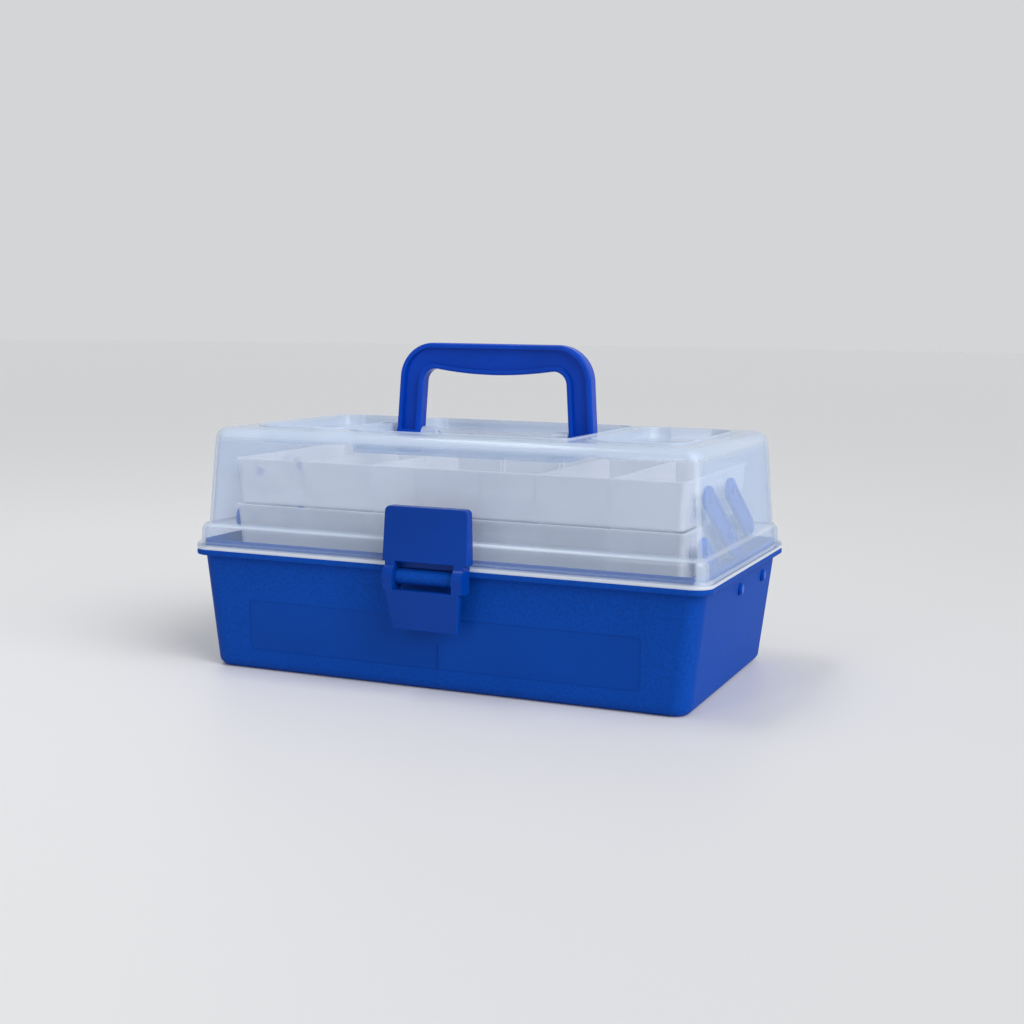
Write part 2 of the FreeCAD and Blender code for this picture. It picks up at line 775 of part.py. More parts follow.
def make_tray(floor, names):
    """One tray: drafted shell, rim, fixed dividers, guide ribs and pivot bosses."""
    top = floor + tray_height
    shell = drafted(tray_outline(0, 0), floor, tray_outline(0, tray_height), top,
                    tray_corner_radius)
    shell = round_edges(shell, tray_wall, at_height(floor))
    rim = drafted(tray_outline(-tray_rim_width, tray_height - tray_rim_height),
                  top - tray_rim_height, tray_outline(-tray_rim_width, tray_height), top,
                  tray_corner_radius + tray_rim_width)
    rim = round_edges(rim, tray_rim_width / 2, at_height(top))
    hollow = drafted(tray_outline(tray_wall, tray_wall), floor + tray_wall,
                     tray_outline(tray_wall, tray_height + overrun), top + overrun,
                     tray_corner_radius - tray_wall)
    walls = tray_dividers(floor) + tray_guides(floor)
    bosses = []
    bores = []
    for sign in SIDES.values():
        for name in names:
            y, z = PIVOTS[name]
            wall = tray_half_length(z - floor)
            bosses.append(rod(sign * (wall - tray_wall / 2), sign * (arm_inner - pivot_side_gap),
                              y, z, tray_boss_radius))
            bores.append(rod(sign * (wall - overrun), sign * arm_outer, y, z,
                             rivet_radius + fixed_clearance))
    return fuse(fuse(shell, rim).cut(hollow), *walls, *bosses).cut(bores)


def tray_dividers(floor):
    """The four moulded walls that split a tray from front to rear."""
    walls = []
    for sign in SIDES.values():
        for x in (tray_inner_column / 2, tray_inner_column / 2 + tray_outer_column):
            walls.append(box(sign * x - divider_thickness / 2, sign * x + divider_thickness / 2,
                             -tray_front + tray_draft + tray_wall / 2,
                             tray_rear - tray_draft - tray_wall / 2,
                             floor + tray_wall / 2, floor + tray_height - divider_drop))
    return walls


def tray_guides(floor):
    """Pairs of ribs on the front and rear walls that loose dividers would slide into."""
    ribs = []
    front = -tray_front + tray_wall / 2
    rear = tray_rear - tray_wall / 2
    reach = tray_draft + guide_rib_depth
    for column in SIDES.values():
        for side in SIDES.values():
            near = column * guide_column / 2 + side * guide_slot / 2
            far = near + side * guide_rib_width
            for wall, inward in ((front, reach), (rear, -reach)):
                ribs.append(box(near, far, wall + inward / 4, wall + inward,
                                floor + tray_wall / 2, floor + tray_height - divider_drop))
    return ribs


def make_arm(names):
    """One straight flat arm with round ends, a raised border and its pivot holes."""
    points = [PIVOTS[name] for name in names]
    first, last = points[0], points[-1]
    reach = math.dist(first, last)
    half = arm_width / 2
    plate = arm_plate(reach, half, -arm_thickness / 2, arm_thickness / 2)
    plate = round_edges(plate, arm_edge_radius, lambda edge: edge.BoundBox.ZLength < side_gap / 10)
    groove = arm_plate(reach, half - arm_rib_border, arm_thickness / 2 - arm_rib_height,
                       arm_thickness / 2 + overrun)
    bosses = [Part.makeCylinder(half - arm_edge_radius, arm_thickness - arm_edge_radius,
                                Vector(math.dist(first, point), 0,
                                       -arm_thickness / 2 + arm_edge_radius))
              for point in points]
    holes = [Part.makeCylinder(rivet_radius + running_clearance, arm_thickness + overrun,
                               Vector(math.dist(first, point), 0, -arm_thickness))
             for point in points]
    arm = fuse(plate.cut(groove), *bosses).cut(holes)
    return place_arm(arm, first)


def arm_plate(reach, half, z0, z1):
    """A long plate with round ends in the XY plane."""
    bar = box(0, reach, -half, half, z0, z1)
    ends = [Part.makeCylinder(half, z1 - z0, Vector(x, 0, z0)) for x in (0, reach)]
    return fuse(bar, *ends)


def place_arm(arm, start):
    """Turns a flat arm to its closed lean, beside the right end of the trays."""
    lean = math.degrees(arm_lean)
    arm.rotate(Vector(0, 0, 0), Vector(0, 0, 1), 90)
    arm.rotate(Vector(0, 0, 0), Vector(0, 1, 0), 90)
    arm.rotate(Vector(0, 0, 0), Vector(1, 0, 0), lean + 90)
    arm.translate(Vector(arm_centre_distance, *start))
    return arm


def make_rivet(x0, x1, y, z):
    """A two-headed snap rivet between the faces at x0 and x1, on the right end."""
    shank = rod(x0, x1, y, z, rivet_radius)
    outer = rod(x1, x1 + rivet_head_thickness, y, z, rivet_head_radius)
    inner = rod(x0 - rivet_head_thickness, x0, y, z, rivet_head_radius)
    rivet = fuse(shank, outer, inner)
    ends = (x0 - rivet_head_thickness, x1 + rivet_head_thickness)
    return round_edges(rivet, rivet_dome, lambda edge: min(
        abs(edge.BoundBox.XMin - end) + edge.BoundBox.XLength for end in ends) < rivet_dome / 10)


def rivet_span(name, floors):
    """The inner and outer faces that a rivet's heads bear on."""
    y, z = PIVOTS[name]
    if name.startswith("base"):
        return arm_inner - pivot_side_gap, base_wall_x(z) + base_pad_height
    floor = floors[name.split("_")[0]]
    return tray_half_length(z - floor) - tray_wall - travel_gap, arm_outer + pivot_side_gap


def build():
    """Every node of the box, by name."""
    upper_floor = tray_top_height - tray_height
    floors = {"upper": upper_floor, "lower": upper_floor - tray_pitch}
    lower_names = ("lower_front", "lower_middle", "lower_rear")
    upper_names = ("upper_front", "upper_rear")
    nodes = {
        "base_tub": make_base(),
        "lid_shell": make_lid(),
        "handle": make_handle(),
        "latch": make_latch(),
        "latch_pin": make_latch_pin(),
        "tray_lower": make_tray(floors["lower"], lower_names),
        "tray_upper": make_tray(floors["upper"], upper_names),
    }
    arms = {
        "arm_front": make_arm(("base_front", "lower_front")),
        "arm_long": make_arm(("base_rear", "lower_middle", "upper_front")),
        "arm_rear": make_arm(("lower_rear", "upper_rear")),
    }
    for side, sign in SIDES.items():
        nodes["lid_hinge_pin_" + side] = make_hinge_pin(sign)
        for name, arm in arms.items():
            nodes[name + "_" + side] = mirrored(arm, sign)
        for name, (y, z) in PIVOTS.items():
            rivet = make_rivet(*rivet_span(name, floors), y, z)
            nodes["rivet_" + name + "_" + side] = mirrored(rivet, sign)
    return nodes


for node, shape in build().items():
    print(node, "valid" if shape.isValid() else "INVALID", len(shape.Solids), "solids",
          round(shape.Volume, 1), "mm3")
    shape.exportStep("parts/" + node + ".step")
print("pivots", {name: [round(value, 2) for value in place] for name, place in PIVOTS.items()})
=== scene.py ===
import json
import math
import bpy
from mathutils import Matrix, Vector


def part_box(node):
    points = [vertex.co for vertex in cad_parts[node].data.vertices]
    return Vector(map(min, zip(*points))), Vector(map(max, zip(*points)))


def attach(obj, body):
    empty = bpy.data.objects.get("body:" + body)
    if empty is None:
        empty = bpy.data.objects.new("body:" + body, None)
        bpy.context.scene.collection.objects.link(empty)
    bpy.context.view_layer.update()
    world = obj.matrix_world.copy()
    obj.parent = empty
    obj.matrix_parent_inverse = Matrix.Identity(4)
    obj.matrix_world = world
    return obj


bl_info = {
    "name": "Cantilever Tackle Box",
    "version": (1, 0, 0),
    "blender": (4, 5, 0),
    "location": "View3D > Sidebar > Tackle Box",
    "description": "Finishes a packed cantilever tackle box: plastics, moulding marks and a stage",
    "category": "Object",
}

import bmesh
import bpy
from bpy.props import FloatProperty, FloatVectorProperty, PointerProperty
from mathutils import Matrix, Vector

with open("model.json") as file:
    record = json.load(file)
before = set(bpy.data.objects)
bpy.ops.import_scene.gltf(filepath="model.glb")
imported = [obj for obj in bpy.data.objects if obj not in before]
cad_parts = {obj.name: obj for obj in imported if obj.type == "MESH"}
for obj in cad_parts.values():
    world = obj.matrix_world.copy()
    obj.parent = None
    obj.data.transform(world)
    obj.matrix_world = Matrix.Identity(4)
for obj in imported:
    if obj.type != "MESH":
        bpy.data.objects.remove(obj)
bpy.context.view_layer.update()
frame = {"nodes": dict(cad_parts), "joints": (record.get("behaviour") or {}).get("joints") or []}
MM = 0.001
ENDS = ("left", "right")
LID_HINGE = next(joint for joint in frame["joints"] if joint["name"] == "lid_hinge")
JOINT_HEIGHT = LID_HINGE["pos_m"][2]
RIM_HALF_WIDTH = -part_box("lid_shell")[0][1]
END_LEAN = 0.078
FRONT_LEAN = 0.032
FRONT_LIMIT = -80 * MM
LID_SCATTER = 0.9
TRAY_SCATTER = 0.6
TRAY_FLOOR = 1.5 * MM
TRAY_GATE = (0.0, -4 * MM)
HANDLE_GATE = (-3 * MM, -3.1 * MM)
HANDLE_GATE_DROP = 9 * MM
# Where each thick edge and its painted highlight fades in, from none to full, as shares of its own
# size
EDGE_HIGHLIGHT_FADES = {"brow": (1.4, 0.8), "foot": (1.0, 0.7), "shoulder": (1.0, 0.2),
              "corner": (0.4, 0.65)}
# Share of the pale edge colour on the brow, shoulder and corners; it is partly thicker plastic and
# partly painted highlight
UPPER_HIGHLIGHT_SHARE = 0.6
BOX_MIDDLE = (0.0, 0.0, 0.08)
KEY_TOWARDS = (0.82, -0.3, 0.58)
OVERHEAD_PLACE = (-0.4, -0.1, 1.2)
FRONT_PLACE = (-0.3, -1.4, 0.6)


def colour_property(name, description, default):
    """A colour that the sidebar shows with a colour field."""
    return FloatVectorProperty(name=name, description=description, default=default, size=3,
                               min=0.0, max=1.0, subtype="COLOR")


def length_property(name, description, default):
    """A length in metres that the sidebar shows with its unit."""
    return FloatProperty(name=name, description=description, default=default, min=0.0,
                         unit="LENGTH", precision=5)


class BoxColours(bpy.types.PropertyGroup):
    """Colours of the plastics, the steel, the floor and the background."""
    base: colour_property("Base", "Blue of the moulded base tub", (0.0006, 0.053, 0.34))
    handle: colour_property("Handle", "Blue of the folding handle", (0.0005, 0.054, 0.46))
    latch: colour_property("Latch", "Blue of the front latch", (0.0005, 0.043, 0.31))
    arms: colour_property("Arms", "Blue of the cantilever arms and rivets", (0.002, 0.08, 0.5))
    lid: colour_property("Lid", "Milky tint of the lid's walls", (0.43, 0.57, 0.8))
    # The lid's rounded edges are painted paler: partly the thicker plastic seen edge on, partly
    # painted highlight
    lid_edge_highlights: colour_property("Lid edges", "Tint of the lid's thick rounded edges",
                               (0.68, 0.74, 0.82))
    trays: colour_property("Trays", "Milky tint of the trays", (0.89, 0.9, 0.94))
    steel: colour_property("Steel", "Drawn steel of the pins", (0.55, 0.55, 0.56))
    floor: colour_property("Floor", "Pale floor under the box", (0.8, 0.8, 0.81))
    world: colour_property("Background", "Pale background behind the box",
                           (0.655, 0.665, 0.68))


class BoxSizes(bpy.types.PropertyGroup):
    """Sizes of the surface grain and of the moulding marks."""
    grain: length_property("Grain", "Width of a grain on the base's outside", 1.4 * MM)
    grain_depth: length_property("Grain depth", "Depth of the base's grain", 0.13 * MM)
    panel_length: length_property("Panel length", "Length of the smooth front field", 252 * MM)
    panel_low: length_property("Panel foot", "Height of the smooth field's lower edge", 13 * MM)
    panel_high: length_property("Panel head", "Height of the smooth field's upper edge", 44 * MM)
    # The brow, foot line, shoulder line and corner sizes below place the lid's paler edge bands,
    # which are partly painted highlight
    brow: length_property("Lid brow", "Depth of the dense band under the lid's top", 7.5 * MM)
    foot_line: length_property("Foot line", "Height of the dense line along the lid's foot",
                               2.8 * MM)
    shoulder: length_property("Shoulder", "Height of the lid's shoulder over its foot", 15 * MM)
    shoulder_line: length_property("Shoulder line", "Half height of the shoulder's dense line",
                                   2.0 * MM)
    end_inset: length_property("End inset", "How far the lid's ends stand in from its foot",
                               5.2 * MM)
    front_inset: length_property("Front inset", "How far the lid's front stands in from its foot",
                                 7.5 * MM)
    corner: length_property("Corner", "Radius of the lid's upright corners", 9.2 * MM)
    gate_radius: length_property("Gate radius", "Radius of a moulding gate's mark", 1.4 * MM)
    gate_height: length_property("Gate height", "Height of a moulding gate's mark", 0.35 * MM)
    witness: length_property("Witness line", "Width of the line where the mould's halves met",
                             0.35 * MM)
    witness_place: length_property("Witness place", "How far right of the middle the line runs",
                                   1.6 * MM)
    witness_low: length_property("Witness foot", "Height of the line's lower end", 7 * MM)
    witness_high: length_property("Witness head", "Height of the line's upper end", 28 * MM)
    base_inset: length_property("Base inset", "How far the base's foot stands in from the rim",
                                7.2 * MM)
    base_draft: FloatProperty(name="Base draft", description="Lean of the base's front wall",
                              default=0.0433)


class BoxStage(bpy.types.PropertyGroup):
    """The camera, the lamps and the floor."""
    yaw: FloatProperty(name="Yaw", description="How far right of the front the camera stands",
                       default=math.radians(22.85), subtype="ANGLE")
    pitch: FloatProperty(name="Pitch", description="How far the camera looks down",
                         default=math.radians(7.64), subtype="ANGLE")
    roll: FloatProperty(name="Roll", description="How far the camera leans",
                        default=math.radians(0.74), subtype="ANGLE")
    distance: length_property("Distance", "From the camera to its target", 0.968)
    lens: FloatProperty(name="Lens", description="Focal length in millimetres", default=53.12)
    target_right: length_property("Target right", "How far right the camera aims", 4.83 * MM)
    target_up: length_property("Target up", "How high the camera aims", 89.23 * MM)
    shift_x: FloatProperty(name="Shift X", description="The lens's shift sideways",
                           default=0.0093)
    shift_y: FloatProperty(name="Shift Y", description="The lens's shift upwards",
                           default=0.0098)
    floor_radius: length_property("Floor radius", "Radius of the round floor", 12.0)
    key_angle: FloatProperty(name="Key angle", description="Width of the key light in the sky",
                             default=math.radians(50.0), subtype="ANGLE")
    key: FloatProperty(name="Key light", description="Strength of the wide light at the right",
                       default=2.4)
    overhead: FloatProperty(name="Overhead lamp", description="Power of the overhead softbox",
                            default=3.0, unit="POWER")
    front: FloatProperty(name="Front lamp", description="Power of the strip at the front left",
                         default=1.8, unit="POWER")
    ambient: FloatProperty(name="Ambient", description="Level of the light from all round",
                           default=0.53)


def add_node(tree, kind, links=None, **settings):
    """A shader node with its settings, and its inputs set to values or linked to outputs."""
    node = tree.nodes.new(kind)
    for name, value in settings.items():
        setattr(node, name, value)
    for socket, value in (links or {}).items():
        if isinstance(value, bpy.types.NodeSocket):
            tree.links.new(value, node.inputs[socket])
        else:
            node.inputs[socket].default_value = value
    return node


def new_material(name):
    """A node material with its tree, its shader and the object's own coordinates."""
    material = bpy.data.materials.new(name)
    material.use_nodes = True
    tree = material.node_tree
    place = add_node(tree, "ShaderNodeTexCoord").outputs["Object"]
    return material, tree, tree.nodes["Principled BSDF"], place


def noise(tree, place, size, detail=2.0):
    """Soft random blotches of about that size in metres, from 0 to 1."""
    links = {"Vector": place, "Scale": 1.0 / size, "Detail": detail}
    return add_node(tree, "ShaderNodeTexNoise", links).outputs["Fac"]


def spread(tree, value, low, high):
    """A noise value stretched to run from low to high."""
    links = {"Value": value, "From Min": 0.3, "From Max": 0.7, "To Min": low, "To Max": high}
    return add_node(tree, "ShaderNodeMapRange", links).outputs["Result"]


def arithmetic(tree, operation, first, second):
    """One sum of two values or outputs."""
    return add_node(tree, "ShaderNodeMath", {0: first, 1: second},
                    operation=operation).outputs[0]


def mix_colours(tree, share, first, second):
    """The colour between two, by a share from 0 to 1."""
    node = add_node(tree, "ShaderNodeMix", data_type="RGBA")
    for socket, value in ((0, share), (6, first), (7, second)):
        if isinstance(value, bpy.types.NodeSocket):
            tree.links.new(value, node.inputs[socket])
        elif socket:
            node.inputs[socket].default_value = (*value, 1.0)
        else:
            node.inputs[socket].default_value = value
    return node.outputs[2]


def shade(colour, factor):
    """A colour made lighter or darker by a factor."""
    return tuple(min(1.0, part * factor) for part in colour)


def mottled(tree, place, size, colour, change):
    """A colour that drifts by a share to both sides in soft blotches, as flow marks do."""
    flow = spread(tree, noise(tree, place, size), 0.0, 1.0)
    return mix_colours(tree, flow, shade(colour, 1.0 - change), shade(colour, 1.0 + change))


def bump(tree, shader, height, depth, strength=1.0):
    """Gives a shader its surface relief from a height between 0 and 1."""
    links = {"Height": height, "Distance": depth, "Strength": strength}
    node = add_node(tree, "ShaderNodeBump", links)
    tree.links.new(node.outputs["Normal"], shader.inputs["Normal"])


def blue_plastic(name, colour, roughness, specular=0.13):
    """Moulded blue plastic with faint flow marks and a slightly uneven gloss."""
    material, tree, shader, place = new_material(name)
    tree.links.new(mottled(tree, place, 45 * MM, colour, 0.08), shader.inputs["Base Color"])
    gloss = noise(tree, place, 9 * MM, 3.0)
    tree.links.new(spread(tree, gloss, roughness * 0.9, roughness * 1.12),
                   shader.inputs["Roughness"])
    shader.inputs["Specular IOR Level"].default_value = specular
    return material


def between(tree, value, low, high):
    """1 where a value lies between two limits, and 0 elsewhere."""
    over = arithmetic(tree, "GREATER_THAN", value, low)
    under = arithmetic(tree, "LESS_THAN", value, high)
    return arithmetic(tree, "MULTIPLY", over, under)


def grained_blue(sizes, colour):
    """The base's plastic: spark-eroded grain outside, smooth in the front field."""
    material, tree, shader, place = new_material("base_grained_blue")
    axes = add_node(tree, "ShaderNodeSeparateXYZ", {"Vector": place}).outputs
    half = sizes.panel_length / 2
    in_field = arithmetic(tree, "MULTIPLY", between(tree, axes["X"], -half, half),
                          between(tree, axes["Z"], sizes.panel_low, sizes.panel_high))
    front = arithmetic(tree, "LESS_THAN", axes["Y"], FRONT_LIMIT)
    in_field = arithmetic(tree, "MULTIPLY", in_field, front)
    grained = arithmetic(tree, "SUBTRACT", 1.0, in_field)
    grain = noise(tree, place, sizes.grain, 2.0)
    speckle = spread(tree, grain, 0.0, 1.0)
    flowing = mottled(tree, place, 60 * MM, colour, 0.06)
    lighter = mix_colours(tree, speckle, shade(colour, 0.8), shade(colour, 1.6))
    speckled = arithmetic(tree, "MULTIPLY", grained, 0.35)
    tree.links.new(mix_colours(tree, speckled, flowing, lighter), shader.inputs["Base Color"])
    links = {"Value": grained, "To Min": 0.42, "To Max": 0.58}
    rough = add_node(tree, "ShaderNodeMapRange", links).outputs["Result"]
    tree.links.new(rough, shader.inputs["Roughness"])
    bump(tree, shader, arithmetic(tree, "MULTIPLY", grain, grained), sizes.grain_depth)
    shader.inputs["Specular IOR Level"].default_value = 0.09
    return material


def less_in_shadow(tree, density, scattered):
    """Thins a density for the light on its way in, because milky plastic scatters it onwards."""
    shadow = add_node(tree, "ShaderNodeLightPath").outputs["Is Shadow Ray"]
    kept = arithmetic(tree, "SUBTRACT", 1.0, arithmetic(tree, "MULTIPLY", shadow, scattered))
    return arithmetic(tree, "MULTIPLY", density, kept)


def milky_plastic(name, colour, opacity, edge_opacity, roughness, scattered):
    """Translucent polypropylene: see-through face on, and denser where it is seen edge on."""
    material, tree, shader, place = new_material(name)
    tree.links.new(mottled(tree, place, 70 * MM, colour, 0.03), shader.inputs["Base Color"])
    facing = add_node(tree, "ShaderNodeLayerWeight", {"Blend": 0.35}).outputs["Facing"]
    edge_on = arithmetic(tree, "POWER", facing, 2.0)
    links = {"Value": edge_on, "To Min": opacity, "To Max": edge_opacity}
    density = add_node(tree, "ShaderNodeMapRange", links).outputs["Result"]
    tree.links.new(less_in_shadow(tree, density, scattered), shader.inputs["Alpha"])
    tree.links.new(spread(tree, noise(tree, place, 20 * MM), roughness * 0.9, roughness * 1.15),
                   shader.inputs["Roughness"])
    bump(tree, shader, noise(tree, place, 40 * MM, 1.0), 0.05 * MM, 0.5)
    return material, shader


def ramp(tree, value, start, end):
    """0 at a start, rising to 1 at an end, which may also lie below the start."""
    links = {"Value": value, "From Min": start, "From Max": end}
    return add_node(tree, "ShaderNodeMapRange", links).outputs["Result"]


def past(tree, along, height, lean, start):
    """How far a point lies past a start, along an axis whose wall leans in with height."""
    straight = arithmetic(tree, "ADD", arithmetic(tree, "ABSOLUTE", along, 0.0),
                          arithmetic(tree, "MULTIPLY", height, lean))
    return arithmetic(tree, "SUBTRACT", straight, start)


def thick_and_highlit_edges(tree, place, sizes):
    """How thick the lid's plastic is seen, with painted highlight along its rounded edges: 1 on
    its foot, less on its other rounded edges and 0 on its flat walls."""
    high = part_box("lid_shell")[1]
    axes = add_node(tree, "ShaderNodeSeparateXYZ", {"Vector": place}).outputs
    over_foot = arithmetic(tree, "SUBTRACT", axes["Z"], JOINT_HEIGHT)
    over_shoulder = arithmetic(tree, "SUBTRACT", over_foot, sizes.shoulder)
    fades = {"brow": sizes.brow, "foot": sizes.foot_line, "shoulder": sizes.shoulder_line,
             "corner": sizes.corner}
    fades = {name: [share * size for share in EDGE_HIGHLIGHT_FADES[name]] for name, size in fades.items()}
    brow = ramp(tree, axes["Z"], *[high[2] - fade for fade in fades["brow"]])
    foot = ramp(tree, over_foot, *fades["foot"])
    shoulder = ramp(tree, arithmetic(tree, "ABSOLUTE", over_shoulder, 0.0), *fades["shoulder"])
    end = high[0] - sizes.end_inset - sizes.corner
    front = RIM_HALF_WIDTH - sizes.front_inset - sizes.corner
    corner = arithmetic(tree, "MINIMUM", past(tree, axes["X"], over_shoulder, END_LEAN, end),
                        past(tree, axes["Y"], over_shoulder, FRONT_LEAN, front))
    corner = ramp(tree, corner, *fades["corner"])
    # The brow, shoulder and corner bands are painted highlight as well as thicker plastic
    thin = arithmetic(tree, "MAXIMUM", brow, arithmetic(tree, "MAXIMUM", shoulder, corner))
    thin = arithmetic(tree, "MULTIPLY", thin, UPPER_HIGHLIGHT_SHARE)
    return arithmetic(tree, "MAXIMUM", foot, thin)


def thicken_and_highlight(tree, shader, share, colour, opacity):
    """Turns a milky plastic paler and denser by a share from 0 to 1; the paler colour is partly
    painted highlight.
    """
    plain = shader.inputs["Base Color"].links[0].from_socket
    tree.links.new(mix_colours(tree, share, plain, colour), shader.inputs["Base Color"])
    thin = shader.inputs["Alpha"].links[0].from_socket
    dense = less_in_shadow(tree, arithmetic(tree, "MULTIPLY", share, opacity), LID_SCATTER)
    tree.links.new(arithmetic(tree, "MAXIMUM", thin, dense), shader.inputs["Alpha"])


def drawn_steel(colour):
    """Plain steel rod with drawing lines along its length."""
    material, tree, shader, place = new_material("drawn_steel")
    along = add_node(tree, "ShaderNodeMapping", {"Vector": place, "Scale": (0.02, 1.0, 1.0)})
    lines = noise(tree, along.outputs["Vector"], 0.15 * MM)
    tree.links.new(mix_colours(tree, lines, shade(colour, 0.85), shade(colour, 1.1)),
                   shader.inputs["Base Color"])
    tree.links.new(spread(tree, lines, 0.28, 0.4), shader.inputs["Roughness"])
    bump(tree, shader, lines, 0.004 * MM)
    shader.inputs["Metallic"].default_value = 1.0
    return material


def dress(nodes, material):
    """Gives carried-over nodes a material."""
    for name in nodes:
        slots = frame["nodes"][name].material_slots
        slots[0].material = material


def new_piece(name, mesh, body, material):
    """A finished mesh as an object at the origin that rides on a body."""
    data = bpy.data.meshes.new(name)
    mesh.to_mesh(data)
    mesh.free()
    piece = bpy.data.objects.new(name, data)
    bpy.context.scene.collection.objects.link(piece)
    data.materials.append(material)
    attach(piece, body)
    return piece


def gate_mark(name, body, material, sizes, place, turn):
    """The round stub that a moulding gate leaves, facing up or turned about X from there."""
    mesh = bmesh.new()
    matrix = Matrix.Translation(place) @ Matrix.Rotation(turn, 4, "X")
    bmesh.ops.create_cone(mesh, cap_ends=True, segments=24, radius1=sizes.gate_radius,
                          radius2=0.8 * sizes.gate_radius, depth=2 * sizes.gate_height,
                          matrix=matrix)
    return new_piece(name, mesh, body, material)


def witness_line(sizes, material):
    """The fine line down the base's front where two halves of the mould met."""
    mesh = bmesh.new()
    bmesh.ops.create_cube(mesh, size=1.0)
    for corner in mesh.verts:
        z = sizes.witness_high if corner.co.z > 0 else sizes.witness_low
        wall = sizes.base_inset - sizes.base_draft * z
        corner.co = Vector((sizes.witness_place + corner.co.x * sizes.witness,
                            -RIM_HALF_WIDTH + wall + corner.co.y * sizes.witness, z))
    return new_piece("base_witness_line", mesh, "base", material)


class BoxOperator:
    """What the operators of this panel share."""
    bl_options = {"REGISTER"}


class FinishBase(BoxOperator, bpy.types.Operator):
    """Gives the base tub its grained blue plastic"""
    bl_idname = "tackle_box.finish_base"
    bl_label = "Finish Base"

    def execute(self, context):
        scene = context.scene
        material = grained_blue(scene.box_sizes, scene.box_colours.base)
        dress(["base_tub"], material)
        witness_line(scene.box_sizes, material)
        return {"FINISHED"}


class FinishLid(BoxOperator, bpy.types.Operator):
    """Gives the lid its milky, glossy plastic, with painted highlight along its rounded edges"""
    bl_idname = "tackle_box.finish_lid"
    bl_label = "Finish Lid"

    def execute(self, context):
        colours = context.scene.box_colours
        material, shader = milky_plastic("lid_milky", colours.lid, opacity=0.2,
                                         edge_opacity=0.75, roughness=0.14,
                                         scattered=LID_SCATTER)
        tree = material.node_tree
        place = tree.nodes["Texture Coordinate"].outputs["Object"]
        # Paints the brow, foot, shoulder and upright corners paler and denser: partly thicker
        # plastic seen edge on, partly painted highlight
        share = thick_and_highlit_edges(tree, place, context.scene.box_sizes)
        thicken_and_highlight(tree, shader, share, colours.lid_edge_highlights, opacity=0.85)
        shader.inputs["Specular IOR Level"].default_value = 0.45
        dress(["lid_shell"], material)
        return {"FINISHED"}


class FinishTrays(BoxOperator, bpy.types.Operator):
    """Gives both trays their white translucent plastic"""
    bl_idname = "tackle_box.finish_trays"
    bl_label = "Finish Trays"

    def execute(self, context):
        scene = context.scene
        material = milky_plastic("tray_milky", scene.box_colours.trays, opacity=0.45,
                                 edge_opacity=0.9, roughness=0.3, scattered=TRAY_SCATTER)[0]
        dress(["tray_lower", "tray_upper"], material)
        for tray in ("tray_lower", "tray_upper"):
            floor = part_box(tray)[0][2] + TRAY_FLOOR
            gate_mark(tray + "_gate_mark", tray, material,
                      scene.box_sizes, (*TRAY_GATE, floor), 0.0)
        return {"FINISHED"}


class FinishHandle(BoxOperator, bpy.types.Operator):
    """Gives the folding handle its satin blue plastic"""
    bl_idname = "tackle_box.finish_handle"
    bl_label = "Finish Handle"

    def execute(self, context):
        scene = context.scene
        material = blue_plastic("handle_blue", scene.box_colours.handle, roughness=0.2)
        dress(["handle"], material)
        place = (*HANDLE_GATE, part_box("handle")[1][2] - HANDLE_GATE_DROP)
        gate_mark("handle_gate_mark", "handle", material, scene.box_sizes,
                  place, math.radians(90))
        return {"FINISHED"}


class FinishLatch(BoxOperator, bpy.types.Operator):
    """Gives the front latch its satin blue plastic"""
    bl_idname = "tackle_box.finish_latch"
    bl_label = "Finish Latch"

    def execute(self, context):
        material = blue_plastic("latch_blue", context.scene.box_colours.latch, roughness=0.2)
        dress(["latch"], material)
        return {"FINISHED"}


class FinishArms(BoxOperator, bpy.types.Operator):
    """Gives the cantilever arms and their rivets a blue plastic"""
    bl_idname = "tackle_box.finish_arms"
    bl_label = "Finish Arms"

    def execute(self, context):
        material = blue_plastic("arm_blue", context.scene.box_colours.arms, roughness=0.35)
        names = [name for name in frame["nodes"] if name.startswith(("arm_", "rivet_"))]
        dress(names, material)
        return {"FINISHED"}


class FinishPins(BoxOperator, bpy.types.Operator):
    """Gives the latch pin and the hinge pins their drawn steel"""
    bl_idname = "tackle_box.finish_pins"
    bl_label = "Finish Pins"

    def execute(self, context):
        material = drawn_steel(context.scene.box_colours.steel)
        dress(["latch_pin"] + ["lid_hinge_pin_" + end for end in ENDS], material)
        return {"FINISHED"}


def softbox(name, width, height, power, place, aim):
    """A rectangular lamp at a place, turned towards an aim."""
    lamp = bpy.data.lights.new(name, "AREA")
    lamp.shape = "RECTANGLE"
    lamp.size = width
    lamp.size_y = height
    lamp.energy = power
    holder = bpy.data.objects.new(name, lamp)
    holder.location = place
    holder.rotation_euler = (Vector(aim) - Vector(place)).to_track_quat("-Z", "Y").to_euler()
    bpy.context.scene.collection.objects.link(holder)


def wide_sun(name, strength, angle, towards):
    """A very soft light from one direction, which reaches the whole floor alike."""
    lamp = bpy.data.lights.new(name, "SUN")
    lamp.energy = strength
    lamp.angle = angle
    holder = bpy.data.objects.new(name, lamp)
    holder.rotation_euler = Vector(towards).to_track_quat("Z", "Y").to_euler()
    bpy.context.scene.collection.objects.link(holder)


def pale_world(colour, ambient):
    """A pale background for the camera and for reflections, and a softer light elsewhere."""
    world = bpy.data.worlds.new("pale_studio")
    bpy.context.scene.world = world
    world.use_nodes = True
    tree = world.node_tree
    rays = add_node(tree, "ShaderNodeLightPath").outputs
    seen = arithmetic(tree, "MAXIMUM", rays["Is Camera Ray"], rays["Is Glossy Ray"])
    seen = arithmetic(tree, "MAXIMUM", seen, rays["Is Transmission Ray"])
    level = add_node(tree, "ShaderNodeMapRange",
                     {"Value": seen, "To Min": ambient, "To Max": 1.0}).outputs["Result"]
    background = tree.nodes["Background"]
    background.inputs["Color"].default_value = (*colour, 1.0)
    tree.links.new(level, background.inputs["Strength"])


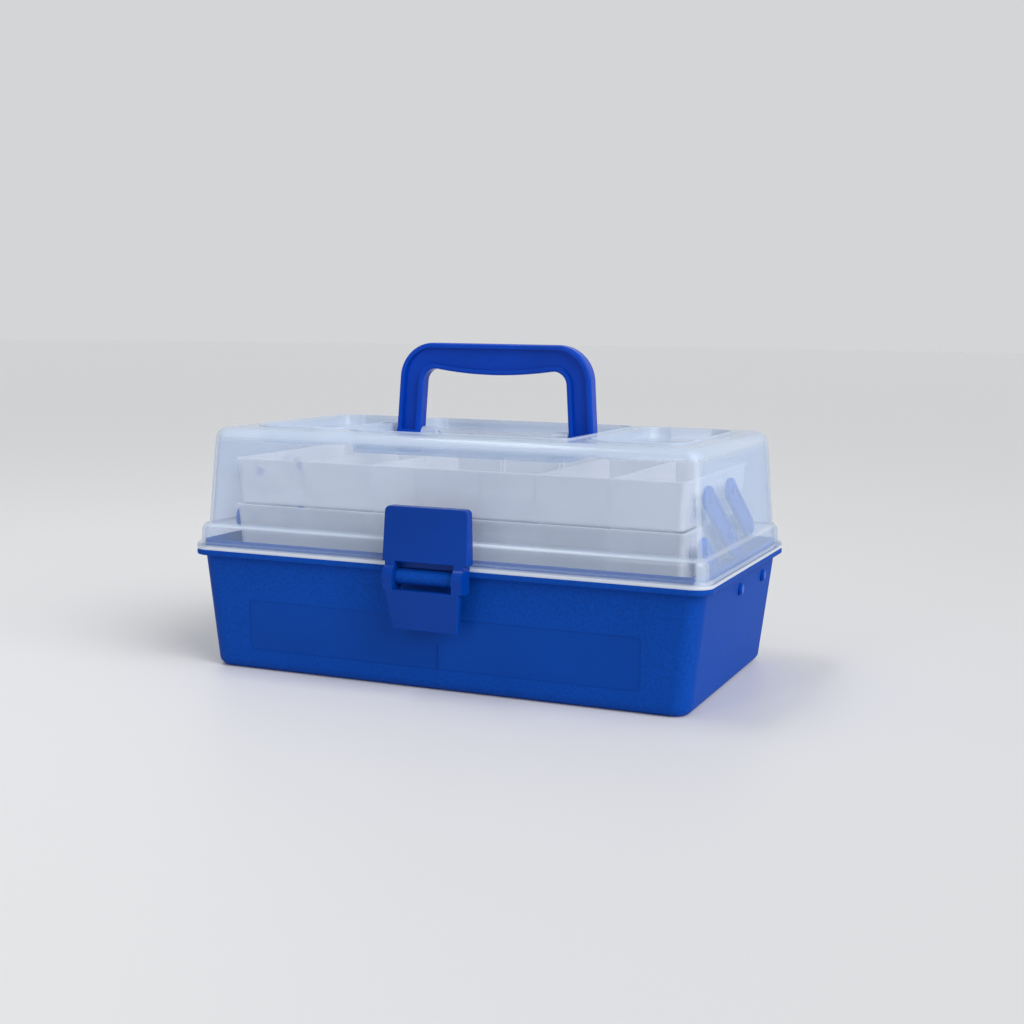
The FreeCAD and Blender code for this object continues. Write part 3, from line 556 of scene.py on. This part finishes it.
def pale_floor(radius, colour):
    """A large round floor under the box."""
    mesh = bmesh.new()
    bmesh.ops.create_circle(mesh, cap_ends=True, segments=96, radius=radius)
    data = bpy.data.meshes.new("floor")
    mesh.to_mesh(data)
    mesh.free()
    floor = bpy.data.objects.new("floor", data)
    bpy.context.scene.collection.objects.link(floor)
    material, tree, shader, place = new_material("floor_pale")
    tree.links.new(mix_colours(tree, noise(tree, place, 0.8), shade(colour, 0.99), colour),
                   shader.inputs["Base Color"])
    shader.inputs["Roughness"].default_value = 0.5
    data.materials.append(material)


def photo_camera(stage):
    """The camera at the photograph's angle, looking at the middle of the box."""
    back = Vector((math.sin(stage.yaw) * math.cos(stage.pitch),
                   -math.cos(stage.yaw) * math.cos(stage.pitch), math.sin(stage.pitch)))
    right = Vector((math.cos(stage.yaw), math.sin(stage.yaw), 0.0))
    up = right.cross(-back)
    target = right * stage.target_right + up * stage.target_up
    turned_right = right * math.cos(stage.roll) + up * math.sin(stage.roll)
    turned_up = up * math.cos(stage.roll) - right * math.sin(stage.roll)
    data = bpy.data.cameras.new("camera")
    data.lens = stage.lens
    data.shift_x = stage.shift_x
    data.shift_y = stage.shift_y
    camera = bpy.data.objects.new("camera", data)
    bpy.context.scene.collection.objects.link(camera)
    turn = Matrix((turned_right, turned_up, back)).transposed()
    camera.matrix_world = Matrix.Translation(target + back * stage.distance) @ turn.to_4x4()
    bpy.context.scene.camera = camera


class BuildStage(BoxOperator, bpy.types.Operator):
    """Makes the pale floor and background, the lamps and the camera"""
    bl_idname = "tackle_box.build_stage"
    bl_label = "Build Stage"

    def execute(self, context):
        stage = context.scene.box_stage
        colours = context.scene.box_colours
        pale_world(colours.world, stage.ambient)
        pale_floor(stage.floor_radius, colours.floor)
        wide_sun("key_light", stage.key, stage.key_angle, KEY_TOWARDS)
        softbox("overhead_softbox", 0.7, 0.18, stage.overhead, OVERHEAD_PLACE, BOX_MIDDLE)
        softbox("front_strip", 0.1, 0.7, stage.front, FRONT_PLACE, BOX_MIDDLE)
        photo_camera(stage)
        context.scene.view_settings.view_transform = "Standard"
        return {"FINISHED"}


OPERATORS = (FinishBase, FinishLid, FinishTrays, FinishHandle, FinishLatch, FinishArms,
             FinishPins, BuildStage)


class BoxPanel(bpy.types.Panel):
    """The sidebar's list of the box's pieces, colours and stage"""
    bl_idname = "VIEW3D_PT_tackle_box"
    bl_label = "Tackle Box"
    bl_space_type = "VIEW_3D"
    bl_region_type = "UI"
    bl_category = "Tackle Box"

    def draw(self, context):
        for operator in OPERATORS:
            self.layout.operator(operator.bl_idname)
        for group in (context.scene.box_colours, context.scene.box_sizes,
                      context.scene.box_stage):
            column = self.layout.column()
            for name in type(group).__annotations__:
                column.prop(group, name)


GROUPS = {"box_colours": BoxColours, "box_sizes": BoxSizes, "box_stage": BoxStage}
CLASSES = (*GROUPS.values(), *OPERATORS, BoxPanel)


def register():
    """Makes the classes and the scene's properties known to Blender."""
    for made in CLASSES:
        bpy.utils.register_class(made)
    for name, group in GROUPS.items():
        setattr(bpy.types.Scene, name, PointerProperty(type=group))


def unregister():
    """Takes the properties and the classes out again."""
    for name in GROUPS:
        delattr(bpy.types.Scene, name)
    for made in reversed(CLASSES):
        bpy.utils.unregister_class(made)


def main():
    register()
    for operator in OPERATORS:
        group, action = operator.bl_idname.split(".")
        getattr(getattr(bpy.ops, group), action)()


if __name__ == "__main__":
    main()
